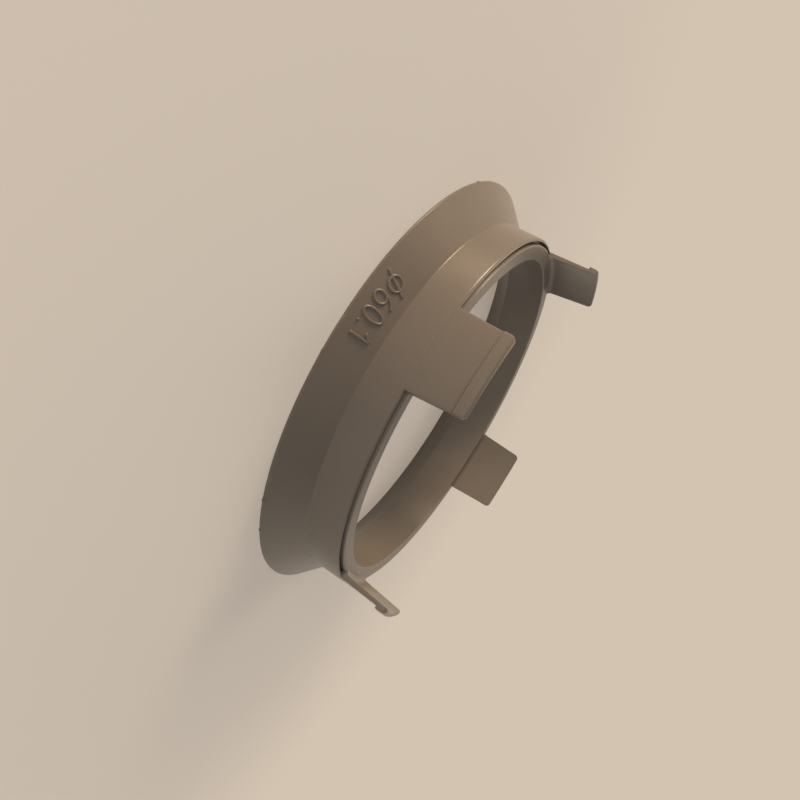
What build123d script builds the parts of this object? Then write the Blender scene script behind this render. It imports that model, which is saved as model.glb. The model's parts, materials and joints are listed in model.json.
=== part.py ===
"""Hub centring ring: a conical flange, a sleeve with a grooved front end and four snap clips, moulded in one.

Millimetres. The ring stands on its flange: the rear face lies on z = 0, the axis is +Z, the clips point up
and the first one is on +X.
"""
import os
from math import radians, tan

from build123d import *

# Ring
bore_diameter = 60.1       # slides over the spigot of the hub
wall = 3.5                 # sleeve wall, which makes the sleeve 67.1 across
body_height = 11.15        # rear face to the front of the inner rim
rim_stand = 0.4            # how far the inner rim stands in front of the sleeve's lip

# Flange: a cone outside, and a cone of the same slope inside its rear opening
flange_reach = 4.95        # how far the flange stands out past the sleeve
flange_edge = 0.3          # height of the flange's thin outer edge
flange_angle = 47.0        # slope of both cones from the axis, in degrees
relief_height = 3.8        # depth of the inner cone

# Groove between the inner rim and the sleeve's front lip
groove_width = 0.56
groove_depth = 1.0
lip_wall = 0.44

# Clips
clip_count = 4
clip_width = 13.5          # across the root
clip_reach = 8.65          # front of the inner rim to the clip's tip
clip_draft = 2.6           # each side draws in towards the tip, in degrees
clip_corner = 0.8          # rounding of the tip's corners, seen from outside
arm_setback = 0.08         # how far the arm's root lies inside the sleeve's face
arm_lean = 2.5             # the arm leans outwards, in degrees
arm_end = 0.63             # thickness of the arm where the barb starts
barb_height = 1.9
barb_stand = 0.5

# Edges
rim_chamfer = 0.16         # both edges of the inner rim
lip_round = 0.42
flange_round = 0.12        # front edge of the flange; its rear edge is the mould's sharp parting line
corner_round = 0.28        # inside corner between the outer cone and the sleeve
root_round = 0.9           # inside corner at the root of a clip
barb_round = 0.7
tip_round = 0.2

# Radii and heights of the ring's section
bore_radius = bore_diameter / 2
sleeve_radius = bore_radius + wall
flange_radius = sleeve_radius + flange_reach
groove_radius = sleeve_radius - lip_wall
rim_radius = groove_radius - groove_width
cone_slope = tan(radians(flange_angle))
cone_top = flange_edge + flange_reach / cone_slope
relief_radius = bore_radius + relief_height * cone_slope
lip_height = body_height - rim_stand
groove_floor = lip_height - groove_depth

# Heights of a clip, whose root is buried below the groove
clip_height = body_height + clip_reach
barb_bottom = clip_height - barb_height
root_bottom = groove_floor - groove_depth / 2


def arm_outside(height):
    """Radius of the arm's outer face, which leans outwards from the sleeve's lip."""
    return sleeve_radius - arm_setback + (height - lip_height) * tan(radians(arm_lean))


def arm_inside(height):
    """Radius of the arm's inner face, straight from the rim's outer edge to the thin end of the arm."""
    end_radius = arm_outside(barb_bottom) - arm_end
    share = (height - body_height) / (barb_bottom - body_height)
    return rim_radius + share * (end_radius - rim_radius)


def half_width(height):
    """Half the clip's width, which draws in towards the tip."""
    return clip_width / 2 - (height - body_height) * tan(radians(clip_draft))


barb_radius = arm_outside(barb_bottom) + barb_stand
tip_radius = arm_inside(clip_height)

# Fillets, each limited by the wall that it rounds
tip_wall = barb_radius - tip_radius
rim_wall = rim_radius - bore_radius
lip_fillet = min(lip_round, 0.95 * lip_wall)
flange_fillet = min(flange_round, 0.45 * flange_edge)
barb_fillet = min(barb_round, 0.7 * tip_wall, 0.9 * barb_height)
tip_fillet = min(tip_round, 0.2 * tip_wall)
root_fillet = min(root_round, 0.6 * rim_wall)
root_radius = rim_radius - 1.2 * root_fillet

# Clip: its outline seen from outside, carried outwards, meets its section turned about the axis
barb_corner = (barb_radius, clip_height)
tip_corner = (tip_radius, clip_height)
root_corner = (rim_radius, body_height)
with BuildPart() as clip:
    with BuildSketch(Plane.YZ) as outline:
        with BuildLine():
            Polyline(
                (-half_width(root_bottom), root_bottom),
                (half_width(root_bottom), root_bottom),
                (half_width(clip_height), clip_height),
                (-half_width(clip_height), clip_height),
                close=True,
            )
        make_face()
        fillet(outline.vertices().group_by(Axis.Y)[-1], clip_corner)
    extrude(amount=flange_radius)
    with BuildSketch(Plane.XZ) as clip_section:
        with BuildLine():
            Polyline(
                (arm_outside(root_bottom), root_bottom),
                (arm_outside(barb_bottom), barb_bottom),
                (barb_radius, barb_bottom),
                barb_corner,
                tip_corner,
                root_corner,
                (root_radius, body_height),
                (root_radius, root_bottom),
                close=True,
            )
        make_face()
        clip_rounds = [(barb_corner, barb_fillet), (tip_corner, tip_fillet), (root_corner, root_fillet)]
        for corner, radius in clip_rounds:
            fillet(clip_section.vertices().sort_by_distance(corner)[0], radius)
    revolve(axis=Axis.Z, mode=Mode.INTERSECT)

# Ring: its section turned about the axis, with the clips set round the front
flange_corner = (flange_radius, flange_edge)
inside_corner = (sleeve_radius, cone_top)
lip_corner = (sleeve_radius, lip_height)
rim_corners = [(rim_radius, body_height), (bore_radius, body_height)]
with BuildPart() as ring:
    with BuildSketch(Plane.XZ) as section:
        with BuildLine():
            Polyline(
                (relief_radius, 0),
                (flange_radius, 0),
                flange_corner,
                inside_corner,
                lip_corner,
                (groove_radius, lip_height),
                (groove_radius, groove_floor),
                (rim_radius, groove_floor),
                *rim_corners,
                (bore_radius, relief_height),
                close=True,
            )
        make_face()
        ring_rounds = [(flange_corner, flange_fillet), (inside_corner, corner_round), (lip_corner, lip_fillet)]
        for corner, radius in ring_rounds:
            fillet(section.vertices().sort_by_distance(corner)[0], radius)
        for corner in rim_corners:
            chamfer(section.vertices().sort_by_distance(corner)[0], min(rim_chamfer, 0.2 * rim_wall))
    revolve(axis=Axis.Z)
    with PolarLocations(0, clip_count):
        add(clip.part)

ring.part.label = "centring_ring"
os.makedirs("parts", exist_ok=True)
export_step(ring.part, "parts/centring_ring.step")
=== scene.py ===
"""Hub centring ring, moulded in one from grey plastic, on a pale floor under soft studio light.

The file is laid out as an add-on: property groups hold the sizes and colours, one operator builds each
piece, and a panel in the sidebar lists them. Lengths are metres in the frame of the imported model, so the
ring's axis is +Z, its flange stands on z = 0 and the clips point up.
"""
import json
import math

import bpy
import numpy as np
from bpy.props import FloatProperty, FloatVectorProperty, IntProperty, PointerProperty
from bpy.types import Operator, Panel, PropertyGroup
from mathutils import Matrix, Vector


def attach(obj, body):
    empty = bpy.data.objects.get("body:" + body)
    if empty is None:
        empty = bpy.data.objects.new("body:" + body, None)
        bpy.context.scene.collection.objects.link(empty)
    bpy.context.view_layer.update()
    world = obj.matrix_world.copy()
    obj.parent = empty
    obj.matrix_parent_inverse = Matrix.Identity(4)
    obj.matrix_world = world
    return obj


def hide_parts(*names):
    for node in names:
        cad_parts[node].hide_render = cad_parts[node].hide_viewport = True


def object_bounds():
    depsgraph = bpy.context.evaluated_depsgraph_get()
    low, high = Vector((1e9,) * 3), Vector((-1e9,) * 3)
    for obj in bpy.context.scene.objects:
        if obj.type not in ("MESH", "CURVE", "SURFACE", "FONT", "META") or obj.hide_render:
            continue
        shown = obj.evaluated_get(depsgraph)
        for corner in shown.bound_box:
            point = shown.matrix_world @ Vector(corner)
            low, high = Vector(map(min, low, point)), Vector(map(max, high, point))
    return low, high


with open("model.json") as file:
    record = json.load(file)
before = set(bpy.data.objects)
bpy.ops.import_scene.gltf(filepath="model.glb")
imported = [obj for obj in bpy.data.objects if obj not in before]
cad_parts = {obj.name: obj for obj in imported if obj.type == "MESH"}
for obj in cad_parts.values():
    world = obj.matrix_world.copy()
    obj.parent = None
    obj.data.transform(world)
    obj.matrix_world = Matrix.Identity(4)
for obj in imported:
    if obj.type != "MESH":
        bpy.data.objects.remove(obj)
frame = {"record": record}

bl_info = {
    "name": "Hub centring ring",
    "version": (1, 0, 0),
    "blender": (4, 5, 0),
    "location": "3D View > Sidebar > Centring ring",
    "description": "Builds a moulded hub centring ring, the raised figure of its bore, and a studio stage",
    "category": "Add Mesh",
}

MM = 0.001
CAD_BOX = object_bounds()
MOUNTS = {mount["name"]: mount["dims"] for mount in frame["record"]["mounts"]}
NODE = "centring_ring"


def linear(hex_colour):
    """Linear red, green and blue of an sRGB hex colour."""
    srgb = np.array([int(hex_colour[i:i + 2], 16) for i in (1, 3, 5)]) / 255
    return tuple(np.where(srgb <= 0.04045, srgb / 12.92, ((srgb + 0.055) / 1.055) ** 2.4))


def length(name, description, millimetres):
    """A length property, given in millimetres and held in metres."""
    return FloatProperty(
        name=name, description=description, default=millimetres * MM, unit="LENGTH", precision=5
    )


def angle(name, description, degrees):
    """An angle property, given in degrees and held in radians."""
    return FloatProperty(name=name, description=description, default=math.radians(degrees), subtype="ANGLE")


def colour(name, description, hex_colour):
    """A colour property, given as sRGB hex."""
    return FloatVectorProperty(
        name=name, description=description, default=linear(hex_colour), subtype="COLOR", size=3, min=0, max=1
    )


def fraction(name, description, value):
    """A plain number from 0 to 1."""
    return FloatProperty(name=name, description=description, default=value, min=0, max=1)


class RingSizes(PropertyGroup):
    """Sizes of the flange, the sleeve and the grooved front end."""

    bore_radius: length(
        "Bore radius", "Inside of the sleeve, from the packed model", MOUNTS["hub_bore"]["r_mm"]
    )
    sleeve_radius: length(
        "Sleeve radius", "Outside of the sleeve, from the packed model", MOUNTS["wheel_seat"]["r_mm"]
    )
    flange_radius: length(
        "Flange radius", "Outer edge of the flange, from the packed model", CAD_BOX[1].x / MM
    )
    body_height: length("Body height", "Rear face to the front of the inner rim", 11.15)
    rim_stand: length("Rim stand", "How far the inner rim stands in front of the lip", 0.4)
    flange_edge: length("Flange edge", "Height of the flange's thin outer edge", 0.3)
    flange_angle: angle("Flange angle", "Slope of the outer and inner cones from the axis", 47)
    relief_height: length("Relief height", "Depth of the inner cone", 3.8)
    groove_width: length("Groove width", "Between the inner rim and the lip", 0.56)
    groove_depth: length("Groove depth", "Below the lip", 1.0)
    lip_wall: length("Lip wall", "Thickness of the sleeve's lip outside the groove", 0.44)
    lip_round: length("Lip rounding", "Outer edge of the lip", 0.41)
    corner_round: length("Corner rounding", "Inside corner between the cone and the sleeve", 0.28)
    rim_round: length("Rim rounding", "Both edges of the inner rim", 0.17)
    edge_round: length("Edge rounding", "Every other edge, where the mould is nearly sharp", 0.06)
    columns: IntProperty(name="Columns", description="Steps round the ring", default=720, min=60, max=1440)


class ClipSizes(PropertyGroup):
    """Sizes of the snap clips round the front."""

    count: IntProperty(name="Clips", description="Clips set evenly round the front", default=4, min=1, max=8)
    height: length("Clip height", "Rear face to the tip, from the packed model", CAD_BOX[1].z / MM)
    width: length("Clip width", "Across the root", 13.5)
    draft: angle("Clip draft", "Each side draws in towards the tip", 2.6)
    corner: length("Tip corner", "Rounding of the tip's corners, seen from outside", 0.8)
    arm_setback: length("Arm setback", "How far the arm's root lies inside the sleeve's face", 0.08)
    arm_lean: angle("Arm lean", "The arm leans outwards", 2.5)
    arm_end: length("Arm end", "Thickness of the arm where the barb starts", 0.63)
    barb_height: length("Barb height", "Height of the barb below the tip", 1.9)
    barb_stand: length("Barb stand", "How far the barb stands out from the arm", 0.5)
    root_round: length("Root rounding", "Inside corner at the root", 0.9)
    barb_round: length("Barb rounding", "Outer edge of the tip", 0.7)
    tip_round: length("Tip rounding", "Inner edge of the tip", 0.2)
    side_round: length("Side rounding", "Upright edges of the arm", 0.09)


class FigureSizes(PropertyGroup):
    """The ring's bore in millimetres, raised on the cone of the flange."""

    place: angle("Place", "Middle of the figure round the ring, over a clip", -90.4)
    height: length("Figure height", "Height of a figure up the cone", 3.3)
    width: length("Figure width", "Width of a figure, between the middles of its strokes", 1.6)
    gap: length("Gap", "Between the strokes of neighbouring figures", 0.9)
    stroke: length("Stroke", "Width of a stroke", 0.44)
    stand: length("Stand", "How far a stroke stands out", 0.25)
    drop: length("Drop", "How far the figure lies below the middle of the cone", 0.099)


class PlasticLook(PropertyGroup):
    """Colour and finish of the moulded plastic."""

    colour: colour("Colour", "Body colour of the plastic", "#7b7268")
    cloud_colour: colour("Cloud", "Colour of the faint clouds where the melt flowed", "#746b61")
    cloud_size: length("Cloud size", "Width of the clouds", 9)
    roughness: fraction("Roughness", "Mean roughness of the skin", 0.34)
    roughness_swing: fraction("Roughness swing", "How far draw marks move it up and down", 0.05)
    draw_width: length("Draw mark width", "Spacing of the marks left as the mould drew off", 0.35)
    draw_length: length("Draw mark length", "Length of those marks", 7)
    scuff_start: fraction("Scuff start", "Level of a draw mark at which it starts to show as a scuff", 0.68)
    scuff_full: fraction("Scuff full", "Level of a draw mark at which its scuff is highest", 0.76)
    grain: length("Grain", "Grain of the mould's surface, drawn coarse enough to show", 0.22)
    grain_depth: length("Grain depth", "Depth of that grain", 0.001)
    bump_strength: fraction("Bump strength", "How strongly grain and scuffs tilt the surface", 0.3)
    refraction: FloatProperty(
        name="Refraction", description="Refractive index of ABS", default=1.54, min=1, max=3
    )
    stretch: fraction("Stretch", "How far highlights stretch along the axis", 0.6)


class StageLook(PropertyGroup):
    """Floor, background and room light."""

    floor_colour: colour("Floor", "Colour of the paper on the floor", "#f4efe9")
    floor_roughness: fraction("Floor roughness", "Roughness of the paper", 0.7)
    floor_radius: length("Floor radius", "Outer edge of the paper", 3000)
    floor_sides: IntProperty(
        name="Floor sides", description="Sides of the paper's edge", default=96, min=12, max=360
    )
    floor_drop: length("Floor drop", "How far the paper lies under the ring's rear face", 0.02)
    backdrop_colour: colour("Backdrop", "Colour that the floor runs into with distance", "#d3c3b1")
    fade_start: length("Fade start", "Where the floor starts to run into the backdrop", 40)
    fade_end: length("Fade end", "Where the floor has run into the backdrop", 160)
    fade_least: fraction("Fade least", "Share of the backdrop's colour in the floor by the ring", 0.45)
    ceiling_light: fraction("Ceiling", "Brightness overhead as a share of the backdrop's", 0.15)
    ceiling_start: fraction("Ceiling start", "Sine of the rise at which the backdrop starts to dim", 0.45)
    ceiling_full: fraction("Ceiling full", "Sine of the rise at which it is as dim as the ceiling", 0.8)
    room_light: fraction("Room light", "Even light from all round", 0.2)


# Points along each stretch of the ring's clips
ARC_POINTS = 10
ARM_POINTS = 14
BARB_POINTS = 6
STEP_POINTS = 4
CORNER_POINTS = 5
ACROSS_POINTS = 29

# Points along and across the strokes of a figure
OVAL_POINTS = 48
LINE_POINTS = 16
RIDGE_POINTS = 13
BALL_POINTS = 6
BETWEEN_BALLS_POINTS = 14

# Height kept free above and below the barb's step
STEP_ROOM = 0.05 * MM

# Most of a clip's wall that the rounding of one edge takes
ROUNDING_SHARE = 0.4

# Rows added on the cone, as shares of its slope from the edge up: they keep nicks from shading across it
CONE_ROWS = (0.06, 0.5)

# Signs that are wider or narrower than a figure, as shares of a figure's width
SIGN_WIDTHS = {"Ø": 1.4, ".": -0.1}

# The foot of a stroke goes on past half an ellipse, into the cone
STROKE_TURN = 0.6 * math.pi

# Most values of a noise texture lie between these
NOISE_LOW = 0.3
NOISE_HIGH = 0.7


def grid_quads(rows, columns, wrap_rows):
    """Quads between neighbours of a grid whose rows close, each along its row and then to the next."""
    index = np.arange(rows * columns).reshape(rows, columns)
    index = np.vstack([index, index[:1]]) if wrap_rows else index
    index = np.hstack([index, index[:, :1]])
    corners = [index[:-1, :-1], index[:-1, 1:], index[1:, 1:], index[1:, :-1]]
    return np.stack(corners, axis=-1).reshape(-1, 4)


def make_piece(name, shells, material):
    """One smooth mesh object of several closed shells, each a pair of points and quads."""
    starts = np.cumsum([0] + [len(points) for points, quads in shells])
    all_points = np.vstack([points for points, quads in shells])
    all_quads = np.vstack([quads + start for (points, quads), start in zip(shells, starts)])
    mesh = bpy.data.meshes.new(name)
    mesh.from_pydata(all_points, [], all_quads)
    mesh.polygons.foreach_set("use_smooth", np.ones(len(all_quads), bool))
    mesh.materials.append(material)
    mesh.validate()
    mesh.update()
    piece = bpy.data.objects.new(name, mesh)
    bpy.context.scene.collection.objects.link(piece)
    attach(piece, "root")
    return piece


def rounded_outline(corners, radii, steps=6, support=0.12 * MM):
    """Closed outline through the corners, each turned by an arc of its own radius.

    The arc touches both sides at radius / tan(half the corner) from the corner, and its centre is on the
    bisector. One more point a little way along each straight side keeps that side's shading flat.
    """
    corners = np.asarray(corners)
    radii = np.asarray(radii)[:, None]
    to_last = np.roll(corners, 1, axis=0) - corners
    to_next = np.roll(corners, -1, axis=0) - corners
    last_run = np.linalg.norm(to_last, axis=1, keepdims=True)
    next_run = np.linalg.norm(to_next, axis=1, keepdims=True)
    to_last = to_last / last_run
    to_next = to_next / next_run
    half = np.arccos(np.sum(to_last * to_next, axis=1, keepdims=True)) / 2
    reach = radii / np.tan(half)
    bisector = (to_last + to_next) / (2 * np.cos(half))
    centre = corners + bisector * radii / np.sin(half)
    turn = np.linspace(-1, 1, steps + 1)[None, :, None] * (math.pi / 2 - half)[:, None, :]
    across = (to_next - to_last) / (2 * np.sin(half))
    outwards = np.sin(turn) * across[:, None] - np.cos(turn) * bisector[:, None]
    arc = centre[:, None] + radii[:, None] * outwards
    last_free = last_run - reach - np.roll(reach, 1, axis=0)
    next_free = next_run - reach - np.roll(reach, -1, axis=0)
    before = corners + to_last * (reach + np.minimum(support, last_free / 4))
    after = corners + to_next * (reach + np.minimum(support, next_free / 4))
    return np.concatenate([before[:, None], arc, after[:, None]], axis=1).reshape(-1, 2)


def turned(section_radius, section_height, angles):
    """Points of a section turned about the axis: a row for each section point, a column for each angle."""
    height = np.broadcast_to(section_height, section_radius.shape)
    return np.stack([section_radius * np.cos(angles), section_radius * np.sin(angles), height], axis=-1)


# Nicks and beads of flash on the flange's edge: place in degrees, width and stand in millimetres
FLASH_MARKS = [
    (-136.7, 0.7, 0.22),
    (-85.0, 0.8, -0.08),
    (-77.0, 0.9, 0.12),
    (-47.5, 0.9, -0.10),
    (-41.6, 0.6, 0.24),
    (-31.5, 0.6, 0.20),
    (24.0, 0.7, 0.16),
    (71.0, 0.6, 0.14),
    (118.0, 0.8, -0.08),
    (163.0, 0.6, 0.17),
]


def flash(angles, radius):
    """How far the flange's edge stands out at each angle: a bell curve for each nick or bead."""
    stand = np.zeros_like(angles)
    for place, width, height in FLASH_MARKS:
        away = (angles - math.radians(place) + math.pi) % (2 * math.pi) - math.pi
        stand += height * MM * np.exp(-((away * radius / (width * MM / 2)) ** 2))
    return stand


def ring_shell(ring):
    """The flange and sleeve: the rounded section turned about the axis in equal steps."""
    slope = math.tan(ring.flange_angle)
    cone_top = ring.flange_edge + (ring.flange_radius - ring.sleeve_radius) / slope
    lip_height = ring.body_height - ring.rim_stand
    groove_floor = lip_height - ring.groove_depth
    groove_radius = ring.sleeve_radius - ring.lip_wall
    rim_radius = groove_radius - ring.groove_width
    edge = ring.edge_round
    corners = [
        ((ring.bore_radius + ring.relief_height * slope, 0), edge),
        ((ring.flange_radius, 0), edge),
        ((ring.flange_radius, ring.flange_edge), 2 * edge),
        ((ring.sleeve_radius, cone_top), ring.corner_round),
        ((ring.sleeve_radius, lip_height), ring.lip_round),
        ((groove_radius, lip_height), edge / 4),
        ((groove_radius, groove_floor), edge),
        ((rim_radius, groove_floor), edge),
        ((rim_radius, ring.body_height), ring.rim_round),
        ((ring.bore_radius, ring.body_height), ring.rim_round),
        ((ring.bore_radius, ring.relief_height), edge),
    ]
    outline = rounded_outline([corner for corner, radius in corners], [radius for corner, radius in corners])
    corners_below_cone = 3
    cone_start = corners_below_cone * len(outline) // len(corners)
    foot, top = outline[cone_start - 1:cone_start + 1]
    added = [foot + share * (top - foot) for share in CONE_ROWS]
    outline = np.insert(outline, cone_start, added, axis=0)
    angles = np.linspace(-math.pi, math.pi, ring.columns, endpoint=False)
    radius, height = outline[:, :1], outline[:, 1:]
    near_edge = np.clip(1 - (ring.flange_radius - radius) / (2 * edge), 0, 1)
    radius = radius + near_edge * flash(angles, ring.flange_radius)
    points = turned(radius, height, angles)
    rows, columns = points.shape[:2]
    return points.reshape(-1, 3), grid_quads(rows, columns, True)


def clip_walls(ring, clip):
    """Outer and inner wall of a clip as paired (radius, height) points, from below the rim up to the tip.

    Outside: a leaning line, the step of the barb, an upright line and a quarter circle. Inside: the root's
    arc, a line to the thin end of the arm carried on to the tip, and the tip's small arc.
    """
    rim_radius = ring.sleeve_radius - ring.lip_wall - ring.groove_width
    lip_height = ring.body_height - ring.rim_stand
    barb_bottom = clip.height - clip.barb_height
    lean = math.tan(clip.arm_lean)
    root_outside = ring.sleeve_radius - clip.arm_setback - lip_height * lean
    end_outside = root_outside + barb_bottom * lean
    barb_radius = end_outside + clip.barb_stand
    inside_lean = (end_outside - clip.arm_end - rim_radius) / (barb_bottom - ring.body_height)
    half_corner = (math.pi / 2 + math.atan(inside_lean)) / 2
    arc_reach = clip.root_round / math.tan(half_corner)

    root_turn = np.linspace(0, math.pi - 2 * half_corner, ARC_POINTS)
    root_arc_radius = rim_radius - arc_reach + clip.root_round * np.sin(root_turn)
    root_arc_height = ring.body_height + clip.root_round * (1 - np.cos(root_turn))
    tip_turn = np.linspace(0, math.pi / 2, ARC_POINTS)
    barb_arc_bottom = clip.height - clip.barb_round
    arm_heights = np.linspace(root_arc_height[-1], barb_bottom - STEP_ROOM, ARM_POINTS)[1:]
    barb_heights = np.linspace(barb_bottom + STEP_ROOM, barb_arc_bottom, BARB_POINTS)
    tip_heights = barb_arc_bottom + clip.barb_round * np.sin(tip_turn)

    # The clip starts inside the ring, below the lip as far as the rim stands above it
    foot = ring.body_height - 2 * ring.rim_stand
    below = np.linspace(foot, root_arc_height[-1], ARC_POINTS + 1)
    step_heights = np.full(STEP_POINTS, barb_bottom)
    step_radii = np.linspace(end_outside, barb_radius, STEP_POINTS)
    outside_heights = np.concatenate([below, arm_heights, step_heights, barb_heights, tip_heights[1:]])
    outside_radii = np.concatenate([
        root_outside + below * lean,
        root_outside + arm_heights * lean,
        step_radii,
        np.full(len(barb_heights), barb_radius),
        barb_radius - clip.barb_round * (1 - np.cos(tip_turn[1:])),
    ])
    straight = np.concatenate([
        arm_heights,
        np.linspace(barb_bottom - STEP_ROOM / 2, barb_bottom + STEP_ROOM / 2, STEP_POINTS),
        barb_heights,
        tip_heights[1:],
    ])
    tip_rise = np.clip(straight - clip.height + clip.tip_round, 0, clip.tip_round)
    tip_inset = clip.tip_round - np.sqrt(clip.tip_round ** 2 - tip_rise ** 2)
    inside_heights = np.concatenate([[below[0]], root_arc_height, straight])
    inside_radii = np.concatenate([
        root_arc_radius[:1],
        root_arc_radius,
        rim_radius + (straight - ring.body_height) * inside_lean + tip_inset,
    ])
    return np.stack([outside_radii, outside_heights], -1), np.stack([inside_radii, inside_heights], -1)


def clip_half_width(ring, clip, height):
    """Half the clip's width at a height: a straight side that draws in, then the tip corner's circle."""
    taper = math.tan(clip.draft)
    straight = clip.width / 2 - (height - ring.body_height) * taper
    centre_height = clip.height - clip.corner
    centre = clip.width / 2 - (centre_height - ring.body_height) * taper - clip.corner / math.cos(clip.draft)
    rise = np.clip(height - centre_height, 0, clip.corner)
    circle = centre + np.sqrt(clip.corner ** 2 - rise ** 2)
    return np.where(rise > clip.corner * math.sin(clip.draft), circle, straight)


def clip_shell(ring, clip, place):
    """One clip: at each level a rounded oblong, bent to the ring's curve, from below the rim up to the tip.

    Across the clip an oblong point is a share of the half width, and through it a share of the wall. The
    four corners are quarter circles of the side rounding.
    """
    outside, inside = clip_walls(ring, clip)
    wall = np.linalg.norm(outside - inside, axis=1)[:, None]
    rounding = np.minimum(clip.side_round, ROUNDING_SHARE * wall)
    corner_turn = np.linspace(math.pi / 2, 0, CORNER_POINTS)
    flat = np.linspace(-1, 1, ACROSS_POINTS)[1:-1]
    side = np.concatenate([np.full(CORNER_POINTS, -1), flat, np.full(CORNER_POINTS, 1)])
    along = np.concatenate([-np.sin(corner_turn), 0 * flat, np.sin(corner_turn[::-1])])
    short = 1 - np.concatenate([np.cos(corner_turn), 1 + 0 * flat, np.cos(corner_turn[::-1])])
    front = 1 - rounding * short / wall
    through = np.hstack([front, 1 - front[:, ::-1]])
    side = np.concatenate([side, side[::-1]])
    along = np.concatenate([along, along[::-1]])

    radius = inside[:, :1] + (outside - inside)[:, :1] * through
    height = inside[:, 1:] + (outside - inside)[:, 1:] * through
    offset = side * (clip_half_width(ring, clip, height) - rounding) + along * rounding
    reach = np.sqrt(radius ** 2 - offset ** 2)
    cos_place, sin_place = math.cos(place), math.sin(place)
    points = np.stack([
        reach * cos_place - offset * sin_place,
        reach * sin_place + offset * cos_place,
        height,
    ], axis=-1)
    levels, around = height.shape
    index = np.arange(levels * around).reshape(levels, around)
    half = around // 2
    top = np.vstack([index[-1, :half], index[-1, :half - 1:-1]])
    bottom = np.vstack([index[0, :half - 1:-1], index[0, :half]])
    caps = [np.stack([row[0, :-1], row[0, 1:], row[1, 1:], row[1, :-1]], -1) for row in (top, bottom)]
    quads = np.vstack([grid_quads(levels, around, False)] + caps)
    return points.reshape(-1, 3), quads


def oval_stroke(wide, high, middle):
    """Closed stroke on a figure's box: an ellipse of these half sizes, halfway across, at a height."""
    turn = np.linspace(0, 2 * math.pi, OVAL_POINTS, endpoint=False)
    return np.stack([0.5 + wide * np.sin(turn), middle + high * np.cos(turn)], -1)


def line_stroke(start, end):
    """Open stroke on a figure's box: a line from one point to another."""
    share = np.linspace(0, 1, LINE_POINTS)
    return np.outer(1 - share, start) + np.outer(share, end)


def stroke_paths(sign):
    """Strokes of one sign on a box one wide and one high: arrays of points, and whether each is closed."""
    quarter = np.linspace(0, math.pi / 2, LINE_POINTS)
    return {
        "Ø": [
            (oval_stroke(0.68, 0.34, 0.5), True),
            (line_stroke((0.06, -0.14), (0.94, 1.14)), False),
        ],
        "6": [
            (oval_stroke(0.5, 0.31, 0.31), True),
            (np.stack([0.9 * (1 - np.cos(quarter)), 0.31 + 0.69 * np.sin(quarter)], -1), False),
        ],
        "0": [(oval_stroke(0.5, 0.5, 0.5), True)],
        ".": [(line_stroke((0.5, -0.03), (0.5, 0.12)), False)],
        "1": [
            (line_stroke((0.62, 0.0), (0.62, 1.0)), False),
            (line_stroke((0.62, 1.0), (-0.02, 0.65)), False),
        ],
    }[sign]


def ridge_shell(path, closed, stroke, stand):
    """A stroke of a figure: half an ellipse carried along its path, with ends that close like a ball.

    Gives the points as (along the ring, up the cone, out from the cone), and the quads.
    """
    ahead = np.roll(path, -1, axis=0) - np.roll(path, 1, axis=0) if closed else np.gradient(path, axis=0)
    ahead = ahead / np.linalg.norm(ahead, axis=1, keepdims=True)
    right = np.stack([ahead[:, 1], -ahead[:, 0]], -1)
    run = np.concatenate([[0], np.cumsum(np.linalg.norm(np.diff(path, axis=0), axis=1))])
    from_end = np.minimum(run, run[-1] - run)
    into_ball = np.zeros(len(path)) if closed else np.clip(1 - from_end / (stroke / 2), 0, 1)
    swell = np.sqrt(1 - into_ball ** 2)
    turn = np.linspace(-STROKE_TURN, STROKE_TURN, RIDGE_POINTS)
    sideways = swell[:, None] * np.sin(turn) * stroke / 2
    lift = swell[:, None] * np.cos(turn) * stand
    flat = path[:, None] + sideways[..., None] * right[:, None]
    points = np.concatenate([flat, lift[..., None]], axis=-1)
    rows, columns = points.shape[:2]
    return points.reshape(-1, 3), grid_quads(rows, columns, closed)


def ball_ends(path, stroke):
    """An open path with extra points close to both ends, where the stroke rounds off."""
    near = stroke / 2 * (1 - np.cos(np.linspace(0, math.pi / 2, BALL_POINTS)))
    run = np.concatenate([[0], np.cumsum(np.linalg.norm(np.diff(path, axis=0), axis=1))])
    between = np.linspace(near[-1], run[-1] - near[-1], BETWEEN_BALLS_POINTS)
    wanted = np.unique(np.concatenate([near, run[-1] - near, between]))
    return np.stack([np.interp(wanted, run, path[:, 0]), np.interp(wanted, run, path[:, 1])], -1)


def figure_shells(ring, figure):
    """The bore as raised figures, laid on the cone.

    Along the figure is an angle round the axis, up is the cone's slope, and out is its normal.
    """
    signs = f"Ø{2 * ring.bore_radius / MM:.1f}"
    widths = np.array([SIGN_WIDTHS.get(sign, 1) * figure.width + figure.gap for sign in signs])
    places = np.cumsum(widths) - widths / 2 - widths.sum() / 2
    slope = math.tan(ring.flange_angle)
    middle_radius = (ring.flange_radius + ring.sleeve_radius) / 2
    middle_height = ring.flange_edge + (ring.flange_radius - middle_radius) / slope
    shells = []
    for sign, place in zip(signs, places):
        for path, closed in stroke_paths(sign):
            path = (path - 0.5) * (figure.width, figure.height) + (place, 0)
            path = path if closed else ball_ends(path, figure.stroke)
            points, quads = ridge_shell(path, closed, figure.stroke, figure.stand)
            along, up, out = points.T
            up = up - figure.drop
            around = figure.place + along / middle_radius
            radius = middle_radius - up * math.sin(ring.flange_angle) + out * math.cos(ring.flange_angle)
            height = middle_height + up * math.cos(ring.flange_angle) + out * math.sin(ring.flange_angle)
            shells.append((np.stack([radius * np.cos(around), radius * np.sin(around), height], -1), quads))
    return shells


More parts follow.
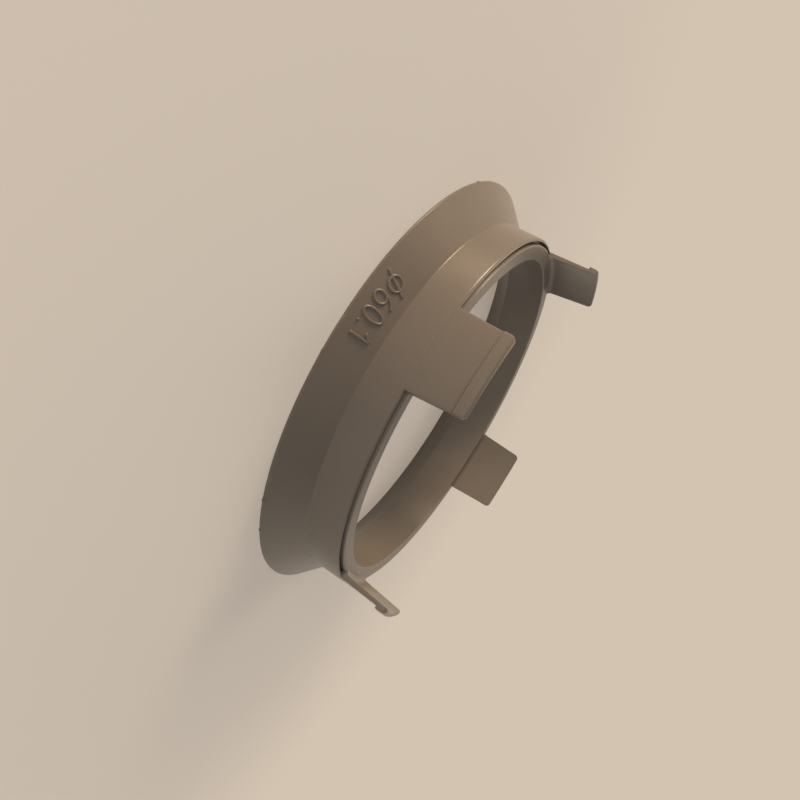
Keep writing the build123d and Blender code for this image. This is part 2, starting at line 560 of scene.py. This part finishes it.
def add_node(tree, kind, links=None, values=None, **settings):
    """A shader node with its settings, its socket values and links into its sockets."""
    node = tree.nodes.new(kind)
    for name, value in settings.items():
        setattr(node, name, value)
    for name, value in (values or {}).items():
        node.inputs[name].default_value = value
    for name, source in (links or {}).items():
        tree.links.new(source, node.inputs[name])
    return node


def moulded_plastic(look):
    """Grey ABS as it leaves a polished steel mould.

    The eye sees an even warm grey with very faint flow clouds, a satin skin, and fine marks along the axis
    where the mould drew off the sleeve. The mould was turned on a lathe, so highlights stretch along the
    axis.
    """
    material = bpy.data.materials.new("grey_abs_moulded")
    material.use_nodes = True
    tree = material.node_tree
    tree.nodes.clear()
    place = add_node(tree, "ShaderNodeTexCoord").outputs["Object"]
    clouds = add_node(
        tree, "ShaderNodeTexNoise", {"Vector": place},
        {"Scale": 1 / look.cloud_size, "Detail": 3, "Roughness": 0.55},
    )
    tint = add_node(tree, "ShaderNodeMix", {"Factor": clouds.outputs["Fac"]}, data_type="RGBA")
    tint.inputs[6].default_value = (*look.colour, 1)
    tint.inputs[7].default_value = (*look.cloud_colour, 1)
    drawn = add_node(
        tree, "ShaderNodeMapping", {"Vector": place},
        {"Scale": (1 / look.draw_width, 1 / look.draw_width, 1 / look.draw_length)},
    )
    marks = add_node(
        tree, "ShaderNodeTexNoise", {"Vector": drawn.outputs["Vector"]},
        {"Scale": 1, "Detail": 2, "Roughness": 0.6},
    )
    gloss = add_node(
        tree, "ShaderNodeMapRange", {"Value": marks.outputs["Fac"]},
        {
            "From Min": NOISE_LOW,
            "From Max": NOISE_HIGH,
            "To Min": look.roughness - look.roughness_swing,
            "To Max": look.roughness + look.roughness_swing,
        },
    )
    grain = add_node(
        tree, "ShaderNodeTexNoise", {"Vector": place},
        {"Scale": 1 / look.grain, "Detail": 2, "Roughness": 0.5},
    )
    scuffs = add_node(
        tree, "ShaderNodeMapRange", {"Value": marks.outputs["Fac"]},
        {"From Min": look.scuff_start, "From Max": look.scuff_full},
    )
    relief = add_node(
        tree, "ShaderNodeMath", {0: grain.outputs["Fac"], 1: scuffs.outputs["Result"]}, operation="ADD"
    )
    bump = add_node(
        tree, "ShaderNodeBump", {"Height": relief.outputs["Value"]},
        {"Strength": look.bump_strength, "Distance": look.grain_depth},
    )
    around = add_node(tree, "ShaderNodeTangent", direction_type="RADIAL", axis="Z")
    quarter_turn = 0.25
    skin = add_node(
        tree, "ShaderNodeBsdfPrincipled",
        {
            "Base Color": tint.outputs[2],
            "Roughness": gloss.outputs["Result"],
            "Normal": bump.outputs["Normal"],
            "Tangent": around.outputs["Tangent"],
        },
        {"IOR": look.refraction, "Anisotropic": look.stretch, "Anisotropic Rotation": quarter_turn},
    )
    add_node(tree, "ShaderNodeOutputMaterial", {"Surface": skin.outputs["BSDF"]})
    return material


def background_rays(tree):
    """1 for a ray that shows the background: straight from the camera, mirrored or refracted; else 0."""
    path = add_node(tree, "ShaderNodeLightPath").outputs
    direct = add_node(
        tree, "ShaderNodeMath", {0: path["Is Camera Ray"], 1: path["Is Glossy Ray"]}, operation="MAXIMUM"
    )
    shown = add_node(
        tree, "ShaderNodeMath", {0: direct.outputs["Value"], 1: path["Is Transmission Ray"]},
        operation="MAXIMUM",
    )
    return shown.outputs["Value"]


def paper_floor(look):
    """Pale seamless paper: it takes the ring's shadow, and runs into the backdrop's colour with distance."""
    material = bpy.data.materials.new("pale_paper_floor")
    material.use_nodes = True
    tree = material.node_tree
    tree.nodes.clear()
    place = add_node(tree, "ShaderNodeTexCoord").outputs["Object"]
    away = add_node(tree, "ShaderNodeVectorMath", {0: place}, operation="LENGTH")
    fade = add_node(
        tree, "ShaderNodeMapRange", {"Value": away.outputs["Value"]},
        {"From Min": look.fade_start, "From Max": look.fade_end, "To Min": look.fade_least},
        interpolation_type="SMOOTHSTEP",
    )
    share = add_node(
        tree, "ShaderNodeMath", {0: fade.outputs["Result"], 1: background_rays(tree)}, operation="MULTIPLY"
    )
    paper = add_node(
        tree, "ShaderNodeBsdfPrincipled", None,
        {"Base Color": (*look.floor_colour, 1), "Roughness": look.floor_roughness},
    )
    backdrop = add_node(tree, "ShaderNodeEmission", None, {"Color": (*look.backdrop_colour, 1)})
    mix = add_node(
        tree, "ShaderNodeMixShader",
        {"Fac": share.outputs["Value"], 1: paper.outputs["BSDF"], 2: backdrop.outputs["Emission"]},
    )
    add_node(tree, "ShaderNodeOutputMaterial", {"Surface": mix.outputs["Shader"]})
    return material


class RING_OT_moulding(Operator):
    """Build the ring with its flange, sleeve, grooved front and clips"""

    bl_idname = "centring_ring.moulding"
    bl_label = "Ring and clips"

    def execute(self, context):
        scene = context.scene
        ring, clip = scene.ring_sizes, scene.clip_sizes
        shells = [ring_shell(ring)]
        for number in range(clip.count):
            shells.append(clip_shell(ring, clip, 2 * math.pi * number / clip.count))
        piece = make_piece("ring_moulding", shells, moulded_plastic(scene.plastic_look))
        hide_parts(NODE)
        return {"FINISHED"}


class RING_OT_figure(Operator):
    """Build the raised figure of the bore on the flange"""

    bl_idname = "centring_ring.figure"
    bl_label = "Bore figure"

    def execute(self, context):
        scene = context.scene
        shells = figure_shells(scene.ring_sizes, scene.figure_sizes)
        make_piece("bore_figure", shells, bpy.data.materials["grey_abs_moulded"])
        return {"FINISHED"}


def direction(azimuth, elevation):
    """Unit vector towards an azimuth, 0 at -Y and growing towards +X, and an elevation, both in degrees."""
    around, rise = math.radians(azimuth), math.radians(elevation)
    return Vector((math.sin(around) * math.cos(rise), -math.cos(around) * math.cos(rise), math.sin(rise)))


# Lamps: colour, watts, size in metres, azimuth and elevation in degrees, and whether reflections show it
LAMPS = {
    "key": ("#ffdfba", 2.8, 0.16, -66, 9, True),
    "fill": ("#fff8f0", 0.85, 0.3, -5, 19, False),
    "side": ("#f6f4f2", 0.33, 0.3, 100, 20, False),
    "back": ("#fff0dd", 0.8, 0.35, -130, 45, True),
}
LAMP_DISTANCE = 0.6


def add_lamp(name, colour_hex, power, size, azimuth, elevation, in_reflections):
    """A square soft box that faces the ring from an azimuth, measured as the camera's, and an elevation."""
    away = direction(azimuth, elevation)
    data = bpy.data.lights.new(name, "AREA")
    data.color = linear(colour_hex)
    data.energy = power
    data.size = size
    lamp = bpy.data.objects.new(name, data)
    lamp.location = away * LAMP_DISTANCE
    lamp.rotation_euler = away.to_track_quat("Z", "Y").to_euler()
    lamp.visible_glossy = in_reflections
    bpy.context.scene.collection.objects.link(lamp)


# Camera, as the photograph was taken: close to the ring, low over its flange, and rolled right over.
# Angles are in degrees, and the lens in millimetres
AIM = Vector((2.457, -1.735, 1.111)) * MM
DISTANCE = 123.78 * MM
AZIMUTH = 10.50
ELEVATION = 17.358
ROLL = 120.415
LENS = 31.536


class RING_OT_stage(Operator):
    """Build the floor, the background, the lamps and the camera"""

    bl_idname = "centring_ring.stage"
    bl_label = "Stage"

    def execute(self, context):
        look = context.scene.stage_look
        mesh = bpy.data.meshes.new("floor")
        turn = np.linspace(0, 2 * math.pi, look.floor_sides, endpoint=False)
        rim = turned(np.full(look.floor_sides, look.floor_radius), -look.floor_drop, turn)
        mesh.from_pydata(rim, [], [list(range(look.floor_sides))])
        mesh.materials.append(paper_floor(look))
        floor = bpy.data.objects.new("floor", mesh)
        context.scene.collection.objects.link(floor)

        world = bpy.data.worlds.new("studio")
        world.use_nodes = True
        tree = world.node_tree
        tree.nodes.clear()
        ray = add_node(tree, "ShaderNodeTexCoord").outputs["Generated"]
        rise = add_node(tree, "ShaderNodeSeparateXYZ", {"Vector": ray}).outputs["Z"]
        ceiling = add_node(
            tree, "ShaderNodeMapRange", {"Value": rise},
            {
                "From Min": look.ceiling_start,
                "From Max": look.ceiling_full,
                "To Min": 1.0,
                "To Max": look.ceiling_light,
            },
            interpolation_type="SMOOTHSTEP",
        )
        room = add_node(
            tree, "ShaderNodeBackground", None, {"Color": (1, 1, 1, 1), "Strength": look.room_light}
        )
        backdrop = add_node(
            tree, "ShaderNodeBackground", {"Strength": ceiling.outputs["Result"]},
            {"Color": (*look.backdrop_colour, 1)},
        )
        mix = add_node(
            tree, "ShaderNodeMixShader",
            {"Fac": background_rays(tree), 1: room.outputs["Background"], 2: backdrop.outputs["Background"]},
        )
        add_node(tree, "ShaderNodeOutputWorld", {"Surface": mix.outputs["Shader"]})
        context.scene.world = world

        for name, values in LAMPS.items():
            add_lamp(name, *values)

        back = direction(AZIMUTH, ELEVATION)
        level_right = Vector((0, 0, 1)).cross(back).normalized()
        level_up = back.cross(level_right)
        roll = math.radians(ROLL)
        right = math.cos(roll) * level_right + math.sin(roll) * level_up
        up = -math.sin(roll) * level_right + math.cos(roll) * level_up
        data = bpy.data.cameras.new("camera")
        data.lens = LENS
        data.clip_start = 1 * MM
        camera = bpy.data.objects.new("camera", data)
        facing = Matrix((right, up, back)).transposed().to_4x4()
        camera.matrix_world = Matrix.Translation(AIM + DISTANCE * back) @ facing
        context.scene.collection.objects.link(camera)
        context.scene.camera = camera
        context.scene.view_settings.view_transform = "Standard"
        return {"FINISHED"}


class RING_PT_panel(Panel):
    """Lists the ring's pieces and their sizes"""

    bl_idname = "RING_PT_panel"
    bl_label = "Centring ring"
    bl_space_type = "VIEW_3D"
    bl_region_type = "UI"
    bl_category = "Centring ring"

    def draw(self, context):
        groups = {
            "centring_ring.moulding": ("ring_sizes", "clip_sizes", "plastic_look"),
            "centring_ring.figure": ("figure_sizes",),
            "centring_ring.stage": ("stage_look",),
        }
        for operator, names in groups.items():
            self.layout.operator(operator)
            box = self.layout.box()
            for name in names:
                group = getattr(context.scene, name)
                for key in group.__annotations__:
                    box.prop(group, key)


GROUPS = {
    "ring_sizes": RingSizes,
    "clip_sizes": ClipSizes,
    "figure_sizes": FigureSizes,
    "plastic_look": PlasticLook,
    "stage_look": StageLook,
}
CLASSES = [*GROUPS.values(), RING_OT_moulding, RING_OT_figure, RING_OT_stage, RING_PT_panel]


def register():
    for cls in CLASSES:
        bpy.utils.register_class(cls)
    for name, group in GROUPS.items():
        setattr(bpy.types.Scene, name, PointerProperty(type=group))


def unregister():
    for name in GROUPS:
        delattr(bpy.types.Scene, name)
    for cls in reversed(CLASSES):
        bpy.utils.unregister_class(cls)


def main():
    register()
    bpy.ops.centring_ring.moulding()
    bpy.ops.centring_ring.figure()
    bpy.ops.centring_ring.stage()


if __name__ == "__main__":
    main()
